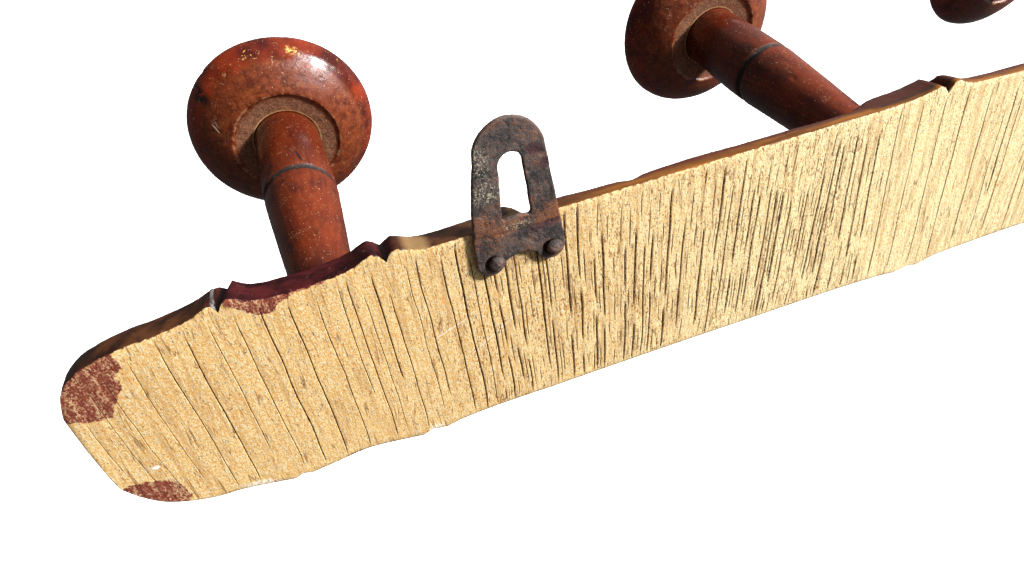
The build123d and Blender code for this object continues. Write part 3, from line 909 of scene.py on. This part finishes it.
    # Where the stain ends: a ragged line just over the back's arris, and the patches
    ragged = s.add(inset, s.times(s.centred(s.noise((1.6, 1.6, 1.6), 16, 3, 0.6)), 1.6))
    is_raw = s.spread(ragged, 0.05, 0.35)
    is_painted = s.flip(is_raw)
    patch_edge = s.add(patch, s.times(s.centred(s.noise((1.5, 2, 1.7), 17, 4, 0.65)), 2.6))
    patch_skip = s.add(s.times(fuzz, 0.45), s.times(streak, 0.35), s.times(fibre, 0.2))
    patch_hold = s.flip(s.times(s.spread(patch_skip, 0.50, 0.60), 0.55))
    on_patch = s.times(s.spread(patch_edge, -0.15, 0.2), patch_hold)
    patch_paint = s.coats(
        s.mix(s.spread(fibre, 0.35, 0.65), (0.12, 0.020, 0.014), (0.30, 0.085, 0.048)),
        ((0.50, 0.24, 0.12), 0.6, s.spread(fuzz, 0.48, 0.62)),
        ((0.10, 0.016, 0.014), 0.6, s.spread(streak, 0.52, 0.34)),
        ((0.03, 0.008, 0.006), 0.7, crack_dark),
    )
    back = s.mix(on_patch, wood, patch_paint)

    # Painted highlight: pale grey on the skewed nick's lit wall. Painted shade: near-black deep inside the
    # nicks
    nick_wall_highlight = s.times(s.band(s.x, 217.3, 218.1, 0.2), s.band(s.z, 28.5, 31.2, 0.4))
    nick_wall_highlight = s.times(nick_wall_highlight, s.spread(s.y, -0.3, -0.8))
    # Painted shade deep inside the nicks, darker further in
    nick_shade = s.either(
        s.spot((175, 29.2), (1.6, 1.8)),
        s.spot((-0.5, 31.6), (1.3, 1.5)),
        s.spot((215.4, 28.6), (1.7, 1.6)),
    )
    colour = s.coats(
        s.mix(is_raw, painted, back),
        ((0.36, 0.36, 0.31), 0.7, nick_wall_highlight, s.spread(scuffs, 0.35, 0.55)),
        ((0.015, 0.008, 0.006), 0.9, nick_shade, s.spread(s.y, -0.4, -1.2)),
    )

    raw_rough = s.spread(on_patch, 0, 1, 0.86, 0.50)
    paint_rough = s.spread(mottle, 0.3, 0.7, 0.26, 0.44)
    rough = s.add(s.times(is_raw, raw_rough), s.times(is_painted, paint_rough))
    raw_height = s.add(s.times(fibre, 0.6), fuzz, s.times(pores, -0.6), s.times(streak, 0.4))
    raw_height = s.add(raw_height, s.times(crack_dark, -0.9))
    paint_height = s.add(s.times(mottle, 1.5), s.times(scuffs, 0.2), s.times(grain, 0.3))
    height = s.add(s.times(raw_height, is_raw), s.times(paint_height, is_painted))
    return s.finish(colour, rough, s.bump(height, 0.22, 0.55), **{"Specular IOR Level": 0.22})


def peg_material():
    s = Shader("varnished_turned_wood")
    along, radius, under, groove = [s.mark(name) for name in ("along", "radius", "under", "groove")]
    cloud = s.noise((14, 22, 14), 1, 4, 0.6)
    grain = s.noise((1.5, 30, 1.5), 2, 4, 0.6, 0.3)
    mottle = s.noise((3.2, 4.2, 3.2), 3, 4, 0.65)
    shaft = s.coats(
        s.mix(s.spread(cloud, 0.32, 0.66), (0.046, 0.005, 0.002), (0.165, 0.021, 0.003)),
        ((0.22, 0.036, 0.005), 0.50, s.spread(grain, 0.40, 0.72)),
        ((0.028, 0.004, 0.002), 0.35, s.spread(mottle, 0.46, 0.26)),
        ((0.075, 0.007, 0.003), 0.5, s.spread(along, 88, 118)),
    )

    # Head: a worn satin underside, a darker and glossier rim, and long grain across the crown
    swirl = s.noise((5.5, 1.6, 2.6), 14, 4, 0.65, 1.2)
    satin = s.coats(
        s.mix(s.spread(mottle, 0.35, 0.65), (0.075, 0.011, 0.003), (0.190, 0.036, 0.007)),
        ((0.155, 0.025, 0.005), 0.6, s.spread(cloud, 0.40, 0.66)),
        ((0.29, 0.068, 0.011), 0.5, s.spread(swirl, 0.50, 0.68)),
    )
    rim = s.mix(s.spread(cloud, 0.36, 0.62), (0.055, 0.005, 0.003), (0.230, 0.026, 0.006))
    plank = s.noise((1.8, 9, 26), 17, 4, 0.6, 0.5)
    crown = s.coats(
        s.mix(s.spread(plank, 0.34, 0.66), (0.085, 0.009, 0.003), (0.250, 0.040, 0.008)),
        ((0.13, 0.014, 0.005), 0.5, s.spread(cloud, 0.38, 0.62)),
    )
    raw_grain = s.noise((0.8, 0.8, 0.8), 5, 4, 0.7)
    ring = s.mix(s.spread(raw_grain, 0.25, 0.75), (0.045, 0.015, 0.007), (0.33, 0.135, 0.060))
    is_rim = s.spread(s.add(radius, s.times(s.centred(mottle), 9)), 30.5, 33.5)
    is_crown = s.spread(along, 144, 147)
    is_under = s.spread(along, 139, 138)
    is_ring = s.times(s.band(radius, 12.9, 19.9, 0.5), s.spread(along, 132, 131))
    is_ring = s.times(is_ring, s.spread(along, 128.2, 128.8))
    # The pale line round the lip is a painted edge highlight
    lip = s.times(s.band(radius, 20.0, 21.0, 0.35), s.spread(along, 131, 130))
    joint = s.times(s.band(radius, 12.2, 13.3, 0.2), s.band(along, 128.9, 130.2, 0.2))
    head = s.coats(
        satin,
        (rim, 1.0, is_rim),
        (crown, 1.0, is_crown),
        (ring, 0.95, is_ring),
        ((0.44, 0.24, 0.12), 0.5, lip, s.spread(mottle, 0.44, 0.58)),
        ((0.60, 0.36, 0.14), 0.85, joint),
    )
    past_shaft = s.either(s.spread(radius, 12.85, 13.0), s.spread(along, 140, 141))
    is_head = s.times(s.spread(along, 126.2, 126.6), past_shaft)

    # Marks all over: chips on the rim, scratches, pale specks and dirt
    chip = s.times(s.spread(s.noise((1.5, 1.5, 1.5), 7, 2, 0.5), 0.69, 0.725), s.band(radius, 32.5, 38, 1.5))
    chip = s.times(chip, s.spread(s.noise((12, 12, 12), 8), 0.48, 0.56))
    scratch = s.math("ABSOLUTE", s.centred(s.noise((7, 3, 5), 9, 2, 0.5, 1.5)))
    scratch = s.times(s.spread(scratch, 0.010, 0.002), s.spread(s.noise((4, 4, 4), 10), 0.50, 0.62))
    speck = s.spread(s.noise((0.55, 0.8, 0.55), 11, 1, 0.5), 0.72, 0.76)
    dirt = s.spread(s.noise((0.8, 1.1, 0.8), 12, 2, 0.5), 0.34, 0.28)

    # Marks on the first peg alone: a gouge, a burn, three nicks in the rim and a split by the groove
    gouge = s.spot((217.4, 29.9), (0.26, 1.9), 24, 0.3)
    burn = s.spot((219.0, 42.0), (2.6, 4.2), 28, 0.5)
    split = s.spot((190.1, 25.9), (0.24, 1.2), 48, 0.4)
    torn = s.spread(s.noise((0.9, 0.9, 0.9), 16, 3, 0.6), 0.49, 0.54)
    on_rim = s.band(along, 136, 147, 1)
    nicks = [
        ((0.80, 0.50, 0.14), 1.0, s.spot(centre, size, 12, 0.5), is_head, torn, on_rim)
        for centre, size in (
            ((180.2, 49.6), (1.2, 2.2)),
            ((182.6, 51.0), (1.1, 1.9)),
            ((199.2, 52.6), (0.9, 0.7)),
        )
    ]
    colour = s.coats(
        s.mix(is_head, shaft, head),
        ((0.012, 0.009, 0.008), 0.96, groove),
        ((0.74, 0.42, 0.10), 1.0, chip),
        ((0.62, 0.30, 0.14), 0.55, scratch),
        ((0.66, 0.40, 0.24), 0.7, speck),
        ((0.80, 0.58, 0.30), 1.0, gouge, is_head, under),
        ((0.008, 0.005, 0.004), 0.95, burn, is_head, s.spread(mottle, 0.36, 0.50)),
        *nicks,
        ((0.010, 0.005, 0.008), 0.95, split, s.band(along, 91, 99, 1)),
        ((0.030, 0.010, 0.006), 0.7, dirt),
    )

    is_satin = s.times(s.band(radius, 12.9, 31.5, 0.8), is_under, is_head)
    rough = s.spread(mottle, 0.3, 0.7, 0.14, 0.30)
    rough = s.add(rough, s.times(is_satin, 0.20), s.times(is_ring, 0.40), s.times(groove, 0.5))
    crinkle = s.times(s.band(radius, 28.2, 30.8, 1.0), is_under, is_head)
    fine = s.noise((0.7, 0.7, 0.7), 13, 4, 0.7)
    height = s.add(
        s.times(mottle, 0.22),
        s.times(scratch, -0.5),
        s.times(chip, -0.8),
        s.times(grain, s.spread(along, 144, 147, 0.2, 0.04)),
        s.times(crinkle, s.noise((1.6, 1.6, 1.1), 18, 3, 0.6, 0.8)),
        s.times(fine, s.add(0.12, s.times(is_ring, 0.9), s.times(groove, 0.8))),
    )
    return s.finish(colour, rough, s.bump(height, 0.30, 0.8), **{"Specular IOR Level": 0.42})


def iron_material():
    s = Shader("rusted_iron")
    worn = s.mark("worn")
    cloud = s.noise((5, 5, 5), 1, 5, 0.65)
    grit = s.noise((0.7, 0.7, 0.7), 2, 4, 0.7)
    fine = s.noise((0.32, 0.32, 0.32), 3, 3, 0.6)

    # Where the first plate is rusty, flecked with pale paint, and stained
    middle = PLATE_X["1"]
    rusty = s.either(
        s.spot((middle + 9.5, 27.0), (3.4, 4.2), 0, 0.6),
        s.spot((middle - 9.2, 31.5), (3.6, 3.4), 0, 0.6),
    )
    flecked = s.either(
        s.spot((middle + 8.3, 50.5), (3.0, 4.0), 0, 0.5),
        s.spot((middle + 7.2, 42.2), (4.4, 2.8), 20, 0.5),
        s.times(s.spot((middle + 0.5, 30.6), (4.5, 1.2), 0, 0.5), 0.8),
    )
    stained = s.either(
        s.spot((middle - 6.6, 50.6), (2.6, 1.6), -20, 0.4),
        s.spot((middle - 8.6, 46.2), (1.3, 1.5), 0, 0.5),
        s.spot((middle - 7.5, 28.4), (5.0, 0.9), 6, 0.6),
    )
    near_fold = s.math("SUBTRACT", s.spread(s.z, 44, 31, 0.0, 0.06), s.spread(s.z, 30, 26, 0.0, 0.045))
    rust_field = s.add(s.times(grit, 0.55), s.times(cloud, 0.45), near_fold, s.times(rusty, 0.055))
    rust = s.mix(s.spread(fine, 0.3, 0.7), (0.085, 0.026, 0.012), (0.36, 0.120, 0.036))
    fleck_grain = s.spread(s.add(s.times(grit, 0.6), s.times(fine, 0.4)), 0.50, 0.60)
    pit = s.spread(s.noise((0.9, 0.9, 0.9), 5, 3, 0.6), 0.40, 0.30)
    iron = s.coats(
        s.mix(s.spread(cloud, 0.35, 0.65), (0.026, 0.022, 0.021), (0.115, 0.088, 0.080)),
        ((0.17, 0.125, 0.105), 0.6, s.spread(grit, 0.50, 0.70)),
        (rust, 0.85, s.spread(rust_field, 0.51, 0.64)),
        # Wear along the plates' cut edges, and a painted highlight on the nails' dome tops
        ((0.30, 0.17, 0.13), 0.65, s.spread(worn, 0.35, 0.9), s.spread(grit, 0.42, 0.58)),
        ((0.56, 0.52, 0.36), 0.9, flecked, fleck_grain),
        ((0.050, 0.012, 0.020), 0.8, stained),
        ((0.022, 0.014, 0.012), 0.7, pit),
    )
    rough = s.spread(grit, 0.3, 0.7, 0.52, 0.86)
    height = s.add(s.times(grit, 0.9), s.times(fine, 0.4), s.times(cloud, 0.8), s.times(pit, -0.6))
    return s.finish(iron, rough, s.bump(height, 0.30, 0.9), Metallic=0.30)


def floor_material():
    s = Shader("pale_floor")
    tone = s.mix(s.noise((900, 900, 900), 1, 2, 0.5), (0.90, 0.90, 0.90), (0.93, 0.93, 0.93))
    normal = s.bump(s.noise((40, 40, 40), 2, 2, 0.5), 0.2, 0.2)
    glow = {"Emission Color": (1, 1, 1, 1), "Emission Strength": 0.9}
    return s.finish(tone, 0.7, normal, **glow)


# ---------------------------------------------------------------- setting


def make_camera():
    data = bpy.data.cameras.new("camera")
    data.lens = CAMERA_LENS
    data.sensor_width = 36.0
    data.clip_start = 0.005
    camera = add_object("camera", data)
    camera.location = CAMERA_PLACE
    camera.rotation_euler = Euler([radians(a) for a in CAMERA_TURN])
    scene.camera = camera


def aim(obj, place, target):
    obj.location = place
    obj.rotation_euler = (Vector(place) - Vector(target)).to_track_quat("Z", "Y").to_euler()


def make_area(name, place, target, size, power, colour):
    data = bpy.data.lights.new(name, "AREA")
    data.shape = "RECTANGLE"
    data.size, data.size_y = size
    data.energy = power
    data.color = colour
    aim(add_object(name, data), place, target)


def make_sun(name, direction, strength, spread, shines=True):
    data = bpy.data.lights.new(name, "SUN")
    data.energy = strength
    data.angle = radians(spread)
    lamp = add_object(name, data)
    lamp.visible_glossy = shines
    aim(lamp, direction, (0, 0, 0))


def make_floor():
    """Pale floor that sweeps up into a far pale wall. It neither shades nor lights the rack."""
    turns = 64
    sweep = [(9.0, FLOOR_Z), (11.0, FLOOR_Z + 0.4), (12.0, FLOOR_Z + 1.6), (12.0, 16.0)]
    points = [(0.0, 0.0, FLOOR_Z)]
    for radius, height in sweep:
        for k in range(turns):
            points.append((radius * cos(tau * k / turns), radius * sin(tau * k / turns), height))
    faces = [(0, 1 + k, 1 + (k + 1) % turns) for k in range(turns)]
    for i in range(len(sweep) - 1):
        for k in range(turns):
            n = (k + 1) % turns
            low = 1 + i * turns
            high = low + turns
            faces.append((low + k, high + k, high + n, low + n))
    mesh = bpy.data.meshes.new("floor")
    mesh.from_pydata(points, [], faces)
    mesh.shade_smooth()
    mesh.materials.append(floor_material())
    floor = add_object("floor", mesh)
    floor.visible_diffuse = False
    floor.visible_glossy = False
    floor.visible_shadow = False


def make_world():
    """Soft studio surround: bright above and to one side, dim below and on the other."""
    world = bpy.data.worlds.new("studio")
    world.use_nodes = True
    tree = world.node_tree
    background = tree.nodes["Background"].inputs
    direction = add_node(tree, "TexCoord", {}).outputs["Generated"]
    bright_side = Vector((-0.80, 0.20, 0.57)).normalized()
    facing = add_node(tree, "VectorMath", {0: direction, 1: bright_side}, operation="DOT_PRODUCT")
    strength = smooth_range(tree, facing.outputs["Value"], -0.25, 0.95, WORLD_DIM, WORLD_BRIGHT)
    put(tree, background["Strength"], strength)
    put(tree, background["Color"], (1, 1, 1))
    scene.world = world


make_camera()
make_floor()
make_world()
make_sun("key", (-0.77, 0.50, 0.50), 6.5, 8)
make_sun("front_fill", (-0.10, -0.97, 0.20), 2.2, 50, shines=False)
make_area("window", (-0.87, 0.52, 0.77), (0.18, -0.1, 0.03), (0.60, 0.42), 9.0, (0.93, 0.94, 1.0))
scene.view_settings.view_transform = "Standard"

wood = board_material()
varnish = peg_material()
iron = iron_material()
build_board(wood)
for number, name in enumerate(PEG_X):
    build_shaft(name, 20 + 10 * number, varnish)
    build_head(name, 60 + 10 * number, varnish)
for number, (name, centre) in enumerate(PLATE_X.items()):
    build_plate(name, 100 + 10 * number, iron)
    for side in (0, 1):
        nail_x = centre + (HOLE_X if side == 0 else -HOLE_X) - NAIL_DRIFT
        build_nail(str(2 * number + side + 1), nail_x, 140 + 5 * (2 * number + side), iron)
